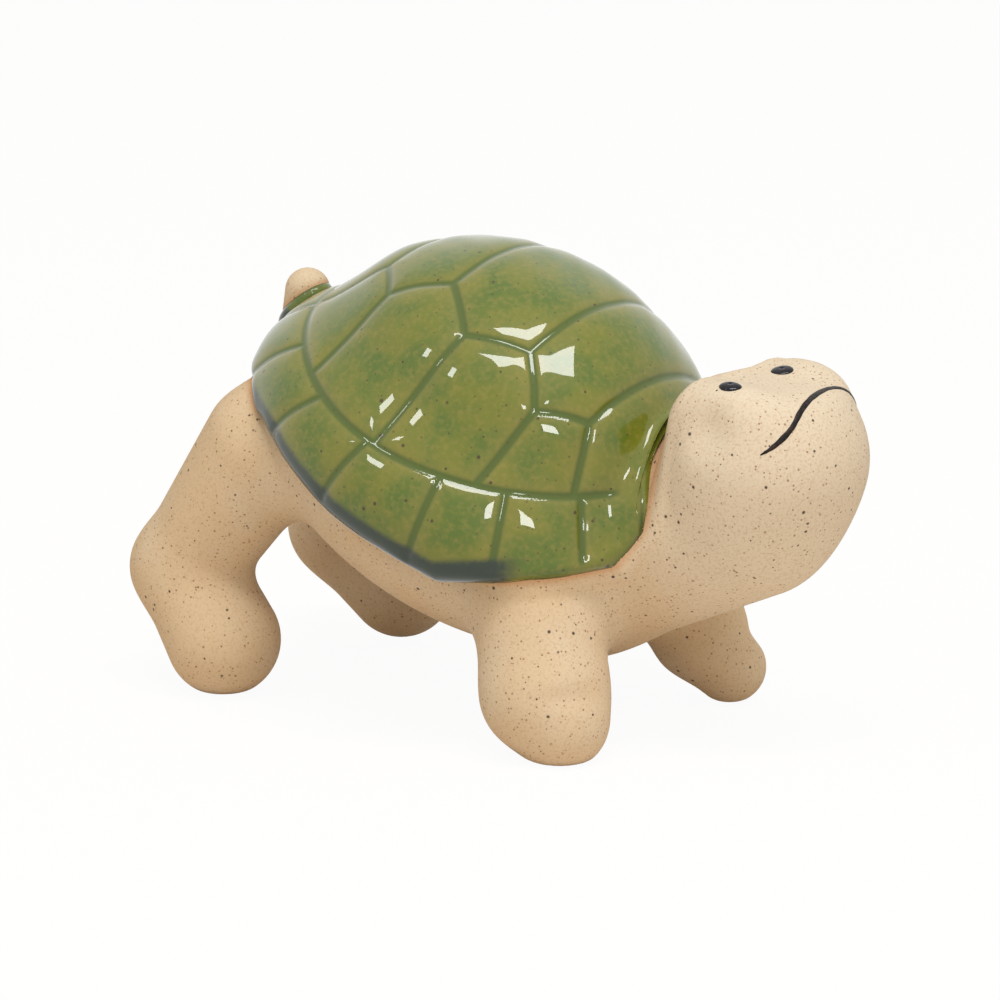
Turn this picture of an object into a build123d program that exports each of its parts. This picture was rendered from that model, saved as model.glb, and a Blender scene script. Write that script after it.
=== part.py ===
from build123d import *
import math
import os

# Turtle figurine: one hollow stoneware casting on four legs, with a glazed and carved
# shell, two enamelled eyes and a brushed mouth. Millimetres. +X points to the nose,
# +Y to the turtle's left, +Z up. The soles stand on Z = 0. Sizes that end in _x are
# measured along X from the shell's middle, and lifts and drops up or down from it.

# Shell, turned about its own middle: X along the back, Z square to the rim
shell_middle_height = 52.5
shell_tilt = 24.8
shell_half_length = 55.4
shell_half_width = 45.0
crown_height = 44.0
skirt_depth = 14.0
rim_shoulder_radius = 25.0
rim_corner_radius = 3.0

# Clay and glaze
clay_wall = 4.0
glaze_thickness = 0.8
vent_diameter = 3.4
vent_x = -12.7

# Carved lines of the shell
groove_depth = 0.45
groove_width = 1.8
ring_groove_width = 1.2

# Torso, in the shell's turned axes
torso_half_length = 51.0
torso_half_width = 38.3
torso_half_height = 26.2
torso_setback = 4.0
torso_drop = 7.9

# Neck and head
neck_root_x = 21.6
neck_root_drop = 14.9
neck_root_radius = 22.2
neck_end_x = 65.5
neck_end_drop = 2.2
neck_end_radius = 16.8
head_centre_x = 66.2
head_centre_lift = 9.4
head_half_length = 21.4
head_half_width = 21.9
head_half_height = 18.8
head_tilt = 17.2
head_top_lift = 15.2
brow_x = 64.7
brow_spread = 12.5
brow_lift = 8.1
brow_radius = 7.9
neck_blend = 10.0
chin_blend = 7.0

# Front legs
front_foot_x = 35.3
front_foot_spread = 28.8
front_foot_radius = 12.3
shoulder_x = 17.3
shoulder_spread = 18.0
shoulder_drop = 6.5

# Rear legs
rear_foot_x = -50.5
rear_foot_spread = 30.0
rear_foot_radius = 12.4
knee_x = -62.3
hip_x = -36.8
hip_spread = 20.0
hip_lift = 13.5

# Tail
tail_root_x = -52.9
tail_root_lift = 17.5
tail_root_radius = 5.6
tail_tip_x = -52.4
tail_tip_lift = 29.7
tail_tip_radius = 4.2

# Eyes and mouth
left_eye_x = 63.7
left_eye_spread = 9.3
right_eye_x = 65.9
right_eye_spread = 11.9
eye_length = 4.6
eye_width = 3.8
eye_stand = 0.7
mouth_top_lift = 14.0
mouth_half_width = 17.8
mouth_drop = 10.9
mouth_line_width = 1.7
mouth_line_thickness = 0.3
overrun = 30.0

# Shell section: shares of the half length, and of the crown height above the rim or the skirt below it
crown_shares = [(1.0, 0.0), (0.93, 0.14), (0.845, 0.345), (0.69, 0.632), (0.491, 0.85), (0.25, 0.966),
                (0.09, 0.9965)]
skirt_shares = [(0.985, 1.0), (1.0, 0.4)]

# Rim line from the side: shares of the half length, and of the crown height
rim_tail_shares = (-1.3, -0.06)
rim_shoulder_shares = (0.36, -0.2)
rim_corner_shares = (0.84, 0.16)
neck_edge_shares = (0.7, 1.1)

# Scute lines seen square to the rim: shares of the half length, and of the half width
spine_shares = [(-0.6, 0.33), (-0.461, 0.515), (-0.265, 0.42), (-0.055, 0.594), (0.18, 0.47), (0.34, 0.58),
                (0.5, 0.42)]
cross_lines = [0, 2, 4, 6]
rib_lines = [(0, 158), (1, 124), (3, 95), (5, 66), (6, 40)]
ring_setback_share = 0.06
ring_length_share = 0.82
ring_width_share = 0.915
rim_plate_turns = [19, 40, 60, 76, 97, 116, 137, 158]
rim_fan_share = 1.12
rim_reach_share = 1.08

# Leg sections from the sole up: shares of the leg's height, of the way back to the joint above,
# of the way in to the joint above, and of the foot's radius
front_leg_shares = [(0.0, -0.08, 0.0, 0.60), (0.05, -0.07, 0.0, 0.82), (0.13, -0.03, 0.0, 0.96),
                    (0.25, 0.0, 0.0, 1.0), (0.40, 0.15, 0.13, 0.98), (0.56, 0.35, 0.32, 1.04),
                    (0.71, 0.58, 0.56, 1.11), (0.86, 0.8, 0.8, 1.12), (1.0, 1.0, 1.0, 1.05)]
rear_foot_shares = [(0.0, 0.0, 0.0, 0.58), (0.033, 0.02, 0.0, 0.82), (0.09, 0.08, 0.01, 0.96),
                    (0.18, 0.2, 0.05, 1.03), (0.27, 0.66, 0.18, 1.04), (0.38, 1.0, 0.32, 1.02)]
thigh_shares = [(0.5, 0.16, 0.38, 1.07), (0.645, 0.46, 0.44, 1.16), (0.8, 0.74, 0.52, 1.21),
                (0.9, 0.88, 0.72, 1.16), (1.0, 1.0, 1.0, 1.0)]

# Mouth line from the middle to a corner: shares of its half width and of its drop
mouth_steps = 12
mouth_shares = [(0.0, 0.0), (0.32, 0.11), (0.53, 0.32), (0.8, 0.71), (1.0, 1.0)]


def on_shell(shape):
    """Puts a shape made about the shell's middle, in its turned axes, into the figurine."""
    return Pos(0, 0, shell_middle_height) * Rot(0, shell_tilt, 0) * shape


def shell_dome(inset):
    """The whole dome, from below the rim to the crown, drawn in by inset."""
    reach = shell_half_length - inset
    breadth = shell_half_width - inset
    rise = crown_height - inset
    rings = [(share, -drop * skirt_depth) for share, drop in skirt_shares]
    rings += [(share, lift * rise) for share, lift in crown_shares]
    sections = [Pos(0, 0, height) * Ellipse(share * reach, share * breadth).face() for share, height in rings]
    return loft(sections + [Vertex(0, 0, rise)])


def above_rim(lift):
    """The block of space above the rim line, raised by lift."""
    def place(shares):
        return (shares[0] * shell_half_length, shares[1] * crown_height)
    shoulder = place(rim_shoulder_shares)
    corner = place(rim_corner_shares)
    tail = place(rim_tail_shares)
    edge = place(neck_edge_shares)
    top = edge[1] + overrun
    outline = make_face(Polyline(tail, shoulder, corner, edge, (edge[0], top), (tail[0], top), close=True))
    outline = round_corner(outline, shoulder, rim_shoulder_radius)
    outline = round_corner(outline, corner, rim_corner_radius)
    return Pos(0, 0, lift) * extrude(Plane.XZ * outline, amount=shell_half_width + overrun, both=True)


def round_corner(face, point, radius):
    """Rounds the corner of a flat face that lies nearest to a point."""
    nearest = face.vertices().sort_by_distance((point[0], point[1], 0))[0]
    return fillet(nearest, radius)


def ellipsoid(half_length, half_width, half_height):
    """A ball stretched to three half sizes about the origin."""
    return scale(Sphere(1), by=(half_length, half_width, half_height))


def torso(inset):
    """The barrel of the body under the shell."""
    barrel = ellipsoid(torso_half_length - inset, torso_half_width - inset, torso_half_height - inset)
    return on_shell(Pos(-torso_setback, 0, -torso_drop) * barrel)


def neck(inset):
    """A round-ended taper from the chest up to the throat."""
    start = Vector(neck_root_x, 0, shell_middle_height - neck_root_drop)
    end = Vector(neck_end_x, 0, shell_middle_height - neck_end_drop)
    return round_taper(start, neck_root_radius - inset, end, neck_end_radius - inset)


def round_taper(start, start_radius, end, end_radius):
    """A taper between two balls, turned from one outline of arcs and a line."""
    span = (end - start).length
    slope = math.asin((start_radius - end_radius) / span)
    def on_ball(middle, radius, angle):
        return (radius * math.cos(angle), middle + radius * math.sin(angle))
    quarter = math.pi / 2
    lower_arc = ThreePointArc((0, -start_radius), on_ball(0, start_radius, (slope - quarter) / 2),
                              on_ball(0, start_radius, slope))
    side = Line(on_ball(0, start_radius, slope), on_ball(span, end_radius, slope))
    upper_middle = on_ball(span, end_radius, (slope + quarter) / 2)
    upper_arc = ThreePointArc(on_ball(span, end_radius, slope), upper_middle, (0, span + end_radius))
    axis = Line((0, span + end_radius), (0, -start_radius))
    solid = revolve(Plane.XZ * make_face([lower_arc, side, upper_arc, axis]), Axis.Z)
    return Plane(origin=start, z_dir=end - start) * solid


def at_head(shape):
    """Puts a shape made about the head's middle, in its tipped axes, into the figurine."""
    return Pos(head_centre_x, 0, shell_middle_height + head_centre_lift) * Rot(0, -head_tilt, 0) * shape


def head(inset):
    """The head, tipped up at the nose, with a flat top between two brows."""
    middle = shell_middle_height + head_centre_lift
    skull = at_head(ellipsoid(head_half_length - inset, head_half_width - inset, head_half_height - inset))
    top = Plane((0, 0, middle + head_top_lift - inset))
    skull = split(skull, bisect_by=top, keep=Keep.BOTTOM)
    for side in (1, -1):
        skull = skull + Pos(brow_x, side * brow_spread, middle + brow_lift) * Sphere(brow_radius - inset)
    return skull


def leg(stations, side, inset):
    """A leg lofted through round sections, from the sole up."""
    rings = [station for station in stations if station[2] >= inset]
    return loft([Pos(x, side * y, z) * Circle(radius - inset).face() for x, y, z, radius in rings])


def front_leg(side, inset):
    """One front leg, leaning back and in from the foot to the shoulder."""
    height = shell_middle_height - shoulder_drop
    stations = []
    for up, back, across, size in front_leg_shares:
        x = front_foot_x + back * (shoulder_x - front_foot_x)
        y = front_foot_spread + across * (shoulder_spread - front_foot_spread)
        stations.append((x, y, up * height, size * front_foot_radius))
    return leg(stations, side, inset)


def rear_leg(side, inset):
    """One rear leg, back from the foot to the knee, then forward to the hip."""
    height = shell_middle_height + hip_lift
    stations = []
    for up, back, across, size in rear_foot_shares:
        x = rear_foot_x + back * (knee_x - rear_foot_x)
        y = rear_foot_spread + across * (hip_spread - rear_foot_spread)
        stations.append((x, y, up * height, size * rear_foot_radius))
    for up, forward, across, size in thigh_shares:
        x = knee_x + forward * (hip_x - knee_x)
        y = rear_foot_spread + across * (hip_spread - rear_foot_spread)
        stations.append((x, y, up * height, size * rear_foot_radius))
    return leg(stations, side, inset)


def tail():
    """The short upright tail behind the rim."""
    start = Vector(tail_root_x, 0, shell_middle_height + tail_root_lift)
    end = Vector(tail_tip_x, 0, shell_middle_height + tail_tip_lift)
    return round_taper(start, tail_root_radius, end, tail_tip_radius)


def blend(base, added, radius):
    """Joins a piece to the casting and rounds the seam between them."""
    known = {tuple(round(v, 1) for v in edge.center()) for edge in base.edges() + added.edges()}
    joined = base + added
    seam = [edge for edge in joined.edges() if tuple(round(v, 1) for v in edge.center()) not in known]
    return fillet(seam, radius)


def bare_clay():
    """The casting's outside without its shell: torso, neck, head, legs and tail."""
    clay = blend(torso(0), neck(0), neck_blend)
    clay = blend(clay, head(0), chin_blend)
    for side in (1, -1):
        clay = clay + front_leg(side, 0) + rear_leg(side, 0)
    return clay + tail()


def hollow():
    """The space left inside when the slip is poured out."""
    dome = shell_dome(glaze_thickness + clay_wall) & above_rim(clay_wall)
    space = torso(clay_wall) + on_shell(dome) + neck(clay_wall) + head(clay_wall)
    for side in (1, -1):
        space = space + front_leg(side, clay_wall) + rear_leg(side, clay_wall)
    return space


def eye(x, y, clay):
    """A bead of black enamel lying on the head at a place seen from above."""
    hits = head(0).find_intersection_points(Axis((x, y, 0), (0, 0, 1)))
    point, normal = max(hits, key=lambda hit: hit[0].Z)
    skin = Plane(origin=point, x_dir=Vector(0, 1, 0).cross(normal), z_dir=normal)
    return skin * ellipsoid(eye_length / 2, eye_width / 2, eye_stand) - clay


def mouth(clay):
    """A brushed line that arches over the front of the head."""
    top = shell_middle_height + head_centre_lift + mouth_top_lift
    points = [(share * mouth_half_width, top - drop * mouth_drop) for share, drop in mouth_shares]
    path = Spline([(-y, z) for y, z in reversed(points[1:])] + points)
    upper, lower = [], []
    for step in range(mouth_steps + 1):
        place, along = path @ (step / mouth_steps), path % (step / mouth_steps)
        across = Vector(-along.Y, along.X) * (mouth_line_width / 2)
        upper.append(place + across)
        lower.append(place - across)
    tip = mouth_line_width / 2
    stroke = make_face([Spline(upper), ThreePointArc(upper[-1], path @ 1 + (path % 1) * tip, lower[-1]),
                        Spline(lower), ThreePointArc(lower[0], path @ 0 - (path % 0) * tip, upper[0])])
    band = Pos(head_centre_x, 0, 0) * extrude(Plane.YZ * stroke, amount=head_half_length + overrun)
    return (head(-mouth_line_thickness) & band) - clay


def stoneware_body(clay):
    """The casting: the bare clay with its shell, hollow inside, with one vent under the belly."""
    shell = on_shell(shell_dome(glaze_thickness) & above_rim(0))
    vent = Pos(vent_x, 0, 0) * Cylinder(vent_diameter / 2, shell_middle_height - torso_drop,
                                        align=(Align.CENTER, Align.CENTER, Align.MIN))
    return clay + shell - hollow() - vent


def on_ring(turn):
    """A point of the oval line inside the rim plates, by its angle from the front, as shares."""
    across = math.radians(turn)
    return (ring_length_share * math.cos(across) - ring_setback_share, ring_width_share * math.sin(across))


def past_rim(turn):
    """Where the rim plate line from the oval's point at that angle runs out, as shares."""
    across = math.radians(90 + (turn - 90) * rim_fan_share)
    return (rim_reach_share * math.cos(across), rim_reach_share * math.sin(across))


def carved_line(start, end):
    """A flat strip from one point of the pattern to another, both as shares."""
    first = Vector(start[0] * shell_half_length, start[1] * shell_half_width)
    last = Vector(end[0] * shell_half_length, end[1] * shell_half_width)
    span = last - first
    turned = Rot(0, 0, math.degrees(math.atan2(span.Y, span.X)))
    return Pos((first + last) / 2) * turned * Rectangle(span.length + groove_width / 2, groove_width)


def carved_ring():
    """The flat oval line inside the rim plates."""
    reach = ring_length_share * shell_half_length
    breadth = ring_width_share * shell_half_width
    outside = Ellipse(reach + ring_groove_width / 2, breadth + ring_groove_width / 2)
    inside = Ellipse(reach - ring_groove_width / 2, breadth - ring_groove_width / 2)
    return Pos(-ring_setback_share * shell_half_length, 0, 0) * (outside - inside)


def scute_lines():
    """Both ends of each straight line of the pattern, on the two halves of the shell and across the back."""
    lines = [(on_ring(180), past_rim(180))]
    lines += [(spine_shares[line], (spine_shares[line][0], -spine_shares[line][1])) for line in cross_lines]
    for side in (1, -1):
        spine = [(along, side * across) for along, across in spine_shares]
        lines += zip(spine, spine[1:])
        lines += [(spine[line], on_ring(side * turn)) for line, turn in rib_lines]
        lines += [(on_ring(side * turn), past_rim(side * turn)) for turn in rim_plate_turns]
    return lines


def scute_grooves():
    """The space that the carving takes: the flat pattern swept through the coat to the grooves' floor."""
    pattern = carved_ring() + [carved_line(start, end) for start, end in scute_lines()]
    sweep = Pos(0, 0, -skirt_depth) * extrude(pattern, amount=skirt_depth + crown_height + overrun)
    return sweep - shell_dome(groove_depth)


def shell_glaze(clay):
    """The carved glaze coat over the shell, down to the rim line."""
    coat = shell_dome(0) - shell_dome(glaze_thickness)
    return on_shell((coat & above_rim(0)) - scute_grooves()) - clay


def build():
    """Makes every node, in the figurine's frame, with X measured from the middle of its length."""
    clay = bare_clay()
    nodes = {
        "stoneware_body": stoneware_body(clay),
        "shell_glaze": shell_glaze(clay),
        "left_eye": eye(left_eye_x, left_eye_spread, clay),
        "right_eye": eye(right_eye_x, -right_eye_spread, clay),
        "mouth_line": mouth(clay),
    }
    middle = nodes["stoneware_body"].bounding_box().center().X
    return {name: Pos(-middle, 0, 0) * shape for name, shape in nodes.items()}


os.makedirs("parts", exist_ok=True)
for name, shape in build().items():
    export_step(shape, f"parts/{name}.step")
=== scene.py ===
# %% [markdown]
# # A stoneware turtle with a glazed shell
#
# The object is a hand-sized turtle, slip-cast in pale speckled clay, with a shell under a
# glossy green glaze, two beads of black enamel for eyes and one brushed black mouth line.
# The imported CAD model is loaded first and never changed. Each visible piece is then made
# again as a finer mesh that stands in for its CAD node, in the same place.

# %% Load the frame and note its box
import math
import bpy
import numpy as np
import openvdb
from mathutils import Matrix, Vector


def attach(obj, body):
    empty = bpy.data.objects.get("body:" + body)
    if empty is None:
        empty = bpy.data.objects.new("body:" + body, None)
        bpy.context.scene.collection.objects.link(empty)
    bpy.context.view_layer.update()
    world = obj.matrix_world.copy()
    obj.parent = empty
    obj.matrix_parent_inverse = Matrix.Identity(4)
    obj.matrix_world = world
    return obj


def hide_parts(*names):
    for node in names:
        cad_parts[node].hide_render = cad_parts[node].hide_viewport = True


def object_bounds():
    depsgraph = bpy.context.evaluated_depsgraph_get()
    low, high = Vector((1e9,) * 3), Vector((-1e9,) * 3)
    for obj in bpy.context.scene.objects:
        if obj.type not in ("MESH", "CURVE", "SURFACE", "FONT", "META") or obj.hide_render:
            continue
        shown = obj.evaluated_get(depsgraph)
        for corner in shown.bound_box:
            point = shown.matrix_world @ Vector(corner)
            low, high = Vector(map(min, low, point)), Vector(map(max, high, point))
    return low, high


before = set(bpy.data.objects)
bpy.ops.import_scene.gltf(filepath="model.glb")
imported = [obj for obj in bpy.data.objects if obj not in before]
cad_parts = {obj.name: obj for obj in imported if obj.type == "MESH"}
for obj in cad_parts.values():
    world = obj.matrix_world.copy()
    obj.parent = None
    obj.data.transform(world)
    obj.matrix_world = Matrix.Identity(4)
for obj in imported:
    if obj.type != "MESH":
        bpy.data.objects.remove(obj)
cad_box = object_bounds()
print("nodes:", sorted(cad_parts))
print("CAD box, metres:", [[round(v, 4) for v in corner] for corner in cad_box])

# %% [markdown]
# ## Soft clay as a field
#
# A cast figurine has no flat faces and no sharp joins: its forms melt into each other. It
# could be pushed out of a cube with a sculpting brush, or built from many curved patches.
# Here each form is a field instead: a function that gives, for any point in space, about
# how far outside the form it lies. Two fields are merged by taking the lower of the two,
# and rounding that choice over a few millimetres gives the soft creases of cast clay.
# Inside the fields every size is in millimetres, and the mesh is turned into metres last.

# %% Ways to merge and cut fields
MM = 0.001


def merge(a, b, width):
    """Both forms together, with the crease between them filled over a width."""
    share = np.clip(0.5 + 0.5 * (b - a) / width, 0, 1)
    return b * (1 - share) + a * share - width * share * (1 - share)


def overlap(a, b, width):
    """Only what lies in both forms, with the edge between them rounded over a width."""
    return -merge(-a, -b, width)


def ramp(value, start, end):
    """0 up to start, 1 from end, and a smooth climb between them."""
    share = np.clip((value - start) / (end - start), 0, 1)
    return share * share * (3 - 2 * share)


def lengths(vectors):
    """The length of each vector in a list."""
    return np.sqrt((vectors ** 2).sum(1))


print("merge of 1 and 2 over 4 mm:", merge(np.array([1.0]), np.array([2.0]), 4.0))

# %% The two building forms: an egg and a limb


def egg(points, halves):
    """A ball stretched to three half sizes about the origin."""
    halves = np.array(halves)
    inner = lengths(points / halves)
    outer = lengths(points / halves ** 2)
    return inner * (inner - 1) / np.maximum(outer, 1e-9)


def limb(points, start, start_radius, end, end_radius):
    """A taper between two balls."""
    span = np.array(end, float) - start
    square = span @ span
    fall = start_radius - end_radius
    slant = square - fall * fall
    offset = points - start
    along = offset @ span
    past = along - square
    across = ((offset * square - along[:, None] * span) ** 2).sum(1)
    side = np.sign(fall) * fall * fall * across
    distance = (np.sqrt(across * slant / square) + along * fall) / square - start_radius
    before = np.sign(along) * slant * along * along * square < side
    distance = np.where(before, np.sqrt(across + along * along * square) / square - start_radius, distance)
    beyond = np.sign(past) * slant * past * past * square > side
    return np.where(beyond, np.sqrt(across + past * past * square) / square - end_radius, distance)


def turned(points, centre, degrees):
    """Points seen from a centre, in axes whose X points that many degrees below the level."""
    offset = points - np.array(centre)
    angle = math.radians(degrees)
    x = offset[:, 0] * math.cos(angle) - offset[:, 2] * math.sin(angle)
    z = offset[:, 0] * math.sin(angle) + offset[:, 2] * math.cos(angle)
    return np.stack([x, offset[:, 1], z], -1)


print("egg and limb are ready")

# %% [markdown]
# ## The turtle's body
#
# The real body is one casting: a barrel-shaped torso, a short thick neck, a blunt head with
# a flat top, four stumpy legs and an upright tail. Each is an egg or a limb, placed in the
# frame's own axes, and the widths of the merges were chosen against the photograph:
# wide at the shoulders and the throat, narrow at the knees and the tail.

# %% Sizes of the body
SHELL_MIDDLE = (-6.16, 0.0, 52.51)
SHELL_TILT = 24.81
TORSO_OFFSET = (-4.01, 0.0, -7.93)
TORSO_HALVES = (51.1, 38.4, 26.2)
NECK_ROOT = (15.4, 0.0, 37.1)
NECK_ROOT_RADIUS = 22.5
NECK_END = (57.2, 0.0, 49.9)
NECK_END_RADIUS = 17.6
HEAD_MIDDLE = (60.0, 0.0, 60.8)
HEAD_HALVES = (20.7, 21.3, 20.3)
HEAD_LIFT = 15.8
LID = (58.0, 0.0, 76.8)
LID_SLOPE = -0.06
BROWS = {-1: (58.6, 12.6, 71.5), 1: (58.6, 14.2, 72.5)}
BROW_RADIUS = 6.0
BROW_STRETCH = 1.6
SOCKET = (59.4, 19.6, 70.6)
SOCKET_RADIUS = 3.4
SOCKET_DEPTH = 2.0
TAIL_ROOT = (-59.0, 0.0, 71.9)
TAIL_ROOT_RADIUS = 5.1
TAIL_TIP = (-57.8, 0.0, 81.9)
TAIL_TIP_RADIUS = 4.8
NECK_MERGE = 5.5
HEAD_MERGE = 5.9
LEG_MERGE = 8.0
KNEE_MERGE = 4.0
TAIL_MERGE = 3.0
LID_EDGE = 3.0
BROW_MERGE = 5.0
SOLE_EDGE = 1.2

# %% Torso, neck, head and tail


def torso_field(points):
    """The barrel of the body, in the shell's turned axes."""
    return egg(turned(points, SHELL_MIDDLE, SHELL_TILT) - np.array(TORSO_OFFSET), TORSO_HALVES)


def head_field(points):
    """A blunt egg with a flat lid, two brows over it and a dent under each brow."""
    skull = egg(turned(points, HEAD_MIDDLE, -HEAD_LIFT), HEAD_HALVES)
    lid = points[:, 2] - LID[2] - LID_SLOPE * (points[:, 0] - LID[0])
    head = overlap(skull, lid, LID_EDGE)
    for side, (x, y, z) in BROWS.items():
        offset = (points - np.array([x, side * y, z])) / np.array([BROW_STRETCH, 1, 1])
        head = merge(head, lengths(offset) - BROW_RADIUS, BROW_MERGE)
    beside = lengths(np.stack([points[:, 0], np.abs(points[:, 1]), points[:, 2]], -1) - np.array(SOCKET))
    return head + SOCKET_DEPTH * np.exp(-beside ** 2 / (2 * SOCKET_RADIUS ** 2))


def trunk_field(points):
    """Torso, neck and head, merged from the back to the front."""
    neck = limb(points, NECK_ROOT, NECK_ROOT_RADIUS, NECK_END, NECK_END_RADIUS)
    return merge(merge(torso_field(points), neck, NECK_MERGE), head_field(points), HEAD_MERGE)


print("depth of the head's middle:", trunk_field(np.array([HEAD_MIDDLE])).round(2))

# %% [markdown]
# ## Four legs
#
# The front legs lean forward and out from the shoulders, with a rounded foot that swells a
# little over the ankle. The rear legs go back from the hip to a high bent knee and forward
# again to the foot. Each leg is three balls joined by two tapers. The two sides are cast
# from one mould but sponged smooth by hand, so their balls differ by up to 3 mm.

# %% The legs: side, then the place and radius of each ball
LEGS = {
    -1: {"shoulder": ((18.5, 21.0, 36.8), 13.8), "ankle": ((26.1, 27.8, 13.4), 12.6),
         "front foot": ((30.4, 28.6, 8.1), 10.1), "hip": ((-48.8, 24.1, 53.6), 13.7),
         "knee": ((-69.4, 26.9, 25.4), 11.0), "rear foot": ((-58.7, 27.7, 11.2), 12.1)},
    1: {"shoulder": ((17.2, 22.6, 36.4), 15.2), "ankle": ((25.6, 26.4, 14.9), 9.6),
        "front foot": ((31.2, 29.6, 7.6), 7.7), "hip": ((-49.4, 25.1, 53.2), 13.2),
        "knee": ((-68.9, 26.8, 25.0), 12.3), "rear foot": ((-56.8, 30.1, 12.4), 11.7)},
}
FOOT_MERGE = 3.0
CREASE = (36.5, 34.5, 15.0)
CREASE_SIZE = (6.0, 7.5, 2.2)
CREASE_DEPTH = 0.7


def on_side(place, side):
    """A place of the turtle's left side, or its mirror image on the right."""
    return np.array([place[0], side * place[1], place[2]])


def ball(side, name):
    """Middle and radius of one ball of the legs."""
    place, radius = LEGS[side][name]
    return on_side(place, side), radius


def front_leg_field(points, side):
    """Shoulder, ankle and foot, with a shallow crease over the toes."""
    shin = limb(points, *ball(side, "shoulder"), *ball(side, "ankle"))
    foot = limb(points, *ball(side, "ankle"), *ball(side, "front foot"))
    crease = lengths((points - on_side(CREASE, side)) / np.array(CREASE_SIZE))
    return merge(shin, foot, FOOT_MERGE) + CREASE_DEPTH * np.exp(-crease ** 2)


def rear_leg_field(points, side):
    """Hip, high knee and foot."""
    thigh = limb(points, *ball(side, "hip"), *ball(side, "knee"))
    shin = limb(points, *ball(side, "knee"), *ball(side, "rear foot"))
    return merge(thigh, shin, KNEE_MERGE)


def clay_field(points):
    """The whole bare body, standing on flat soles."""
    body = trunk_field(points)
    for side in (-1, 1):
        body = merge(body, front_leg_field(points, side), LEG_MERGE)
        body = merge(body, rear_leg_field(points, side), LEG_MERGE)
    tail = limb(points, TAIL_ROOT, TAIL_ROOT_RADIUS, TAIL_TIP, TAIL_TIP_RADIUS)
    return overlap(merge(body, tail, TAIL_MERGE), -points[:, 2], SOLE_EDGE)


print("balls in each leg pair:", len(LEGS[1]))

# %% [markdown]
# ## The shell's dome and rim
#
# The shell is a long dome, tipped nose-up with the back, whose lower edge flares out into
# a rounded rim. Its section is given as a radius from the middle at eight heights, in
# degrees, joined by a smooth curve, and it is narrower than it is long. The rim is a line in the side view:
# it runs along the flank, climbs at the shoulder and ends in a steep edge behind the neck.

# %% A smooth curve through a few points


def smooth_curve(knots, values):
    """A cubic curve through points, free at its start and level at its end."""
    knots, values = np.array(knots, float), np.array(values, float)
    gaps = np.diff(knots)
    rises = np.diff(values) / gaps
    matrix = np.zeros((len(knots), len(knots)))
    sums = np.zeros(len(knots))
    matrix[0, :2] = 2, 1
    sums[0] = 3 * rises[0]
    for i in range(1, len(knots) - 1):
        matrix[i, i - 1:i + 2] = 1 / gaps[i - 1], 2 / gaps[i - 1] + 2 / gaps[i], 1 / gaps[i]
        sums[i] = 3 * (rises[i - 1] / gaps[i - 1] + rises[i] / gaps[i])
    matrix[-1, -1] = 1
    slopes = np.linalg.solve(matrix, sums)

    def at(value):
        piece = np.clip(np.searchsorted(knots, value) - 1, 0, len(gaps) - 1)
        gap = gaps[piece]
        t = (np.clip(value, knots[0], knots[-1]) - knots[piece]) / gap
        return (values[piece] * (1 + 2 * t) * (1 - t) ** 2 + values[piece + 1] * t * t * (3 - 2 * t)
                + gap * (slopes[piece] * t * (1 - t) ** 2 + slopes[piece + 1] * t * t * (t - 1)))
    return at


DOME_HEIGHTS = [-45.0, -20.0, 0.0, 18.0, 36.0, 54.0, 72.0, 90.0]
DOME_RADII = [53.4, 54.1, 57.4, 49.9, 47.8, 45.9, 44.9, 44.0]
DOME_NARROWING = 1.231
SIDE_SLOPE = 0.82
FIELD_SCALE = 0.97
TINY = 1e-6
dome_radius = smooth_curve(DOME_HEIGHTS, DOME_RADII)
print("dome radius at 45 degrees:", round(float(dome_radius(np.array([45.0]))[0]), 2), "mm")

# %% Dome, rim line and shell
RIM_LINE = [(-200.0, -2.5), (-62.1, -2.5), (-55.1, -4.5), (-47.1, -7.7), (-33.1, -6.1), (-6.1, -9.1),
            (20.9, -8.4), (35.9, 0.3), (46.3, 7.0), (47.8, 17.5), (39.9, 39.5), (39.9, 200.0),
            (-200.0, 200.0)]
RIM_EDGE = 3.2


def dome_field(offset):
    """The whole dome, for points in the shell's turned axes."""
    narrow = offset[:, 1] * DOME_NARROWING
    out = np.hypot(offset[:, 0], narrow)
    reach = np.hypot(out, offset[:, 2])
    height = np.degrees(np.arctan2(offset[:, 2], out))
    steepness = np.sqrt(((SIDE_SLOPE * out) ** 2 + offset[:, 2] ** 2 + TINY) / (reach ** 2 + TINY))
    return (reach - dome_radius(height)) * steepness * FIELD_SCALE


def outline_field(x, z, corners):
    """How far a point of the side view lies outside a closed outline."""
    nearest = np.full(len(x), 1e9)
    inside = np.zeros(len(x), bool)
    for (ax, az), (bx, bz) in zip(corners, corners[1:] + corners[:1]):
        ex, ez, px, pz = bx - ax, bz - az, x - ax, z - az
        share = np.clip((px * ex + pz * ez) / (ex * ex + ez * ez), 0, 1)
        nearest = np.minimum(nearest, (px - ex * share) ** 2 + (pz - ez * share) ** 2)
        turn = ex * pz - ez * px
        inside ^= ((az <= z) & (bz > z) & (turn < 0)) | ((az > z) & (bz <= z) & (turn > 0))
    return np.where(inside, -np.sqrt(nearest), np.sqrt(nearest))


def shell_field(points):
    """The dome, cut off along the rim's line with a rounded edge."""
    offset = turned(points, SHELL_MIDDLE, SHELL_TILT)
    rim = outline_field(offset[:, 0], offset[:, 2], RIM_LINE)
    return overlap(dome_field(offset), rim, RIM_EDGE)


print("shell depth at its middle:", shell_field(np.array([SHELL_MIDDLE])).round(2))

# %% [markdown]
# ## Where the glaze ends
#
# Behind and along the flank the shell's rim stands out over the body, and the glaze wraps
# round it. At the shoulder the clay comes up flush, and the glaze simply stops at a painted
# line. One difference of two fields does both: above 0 the shell is the outer form, and
# the glaze lies there. The tail pokes out through the glaze and stays bare at its tip.

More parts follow.
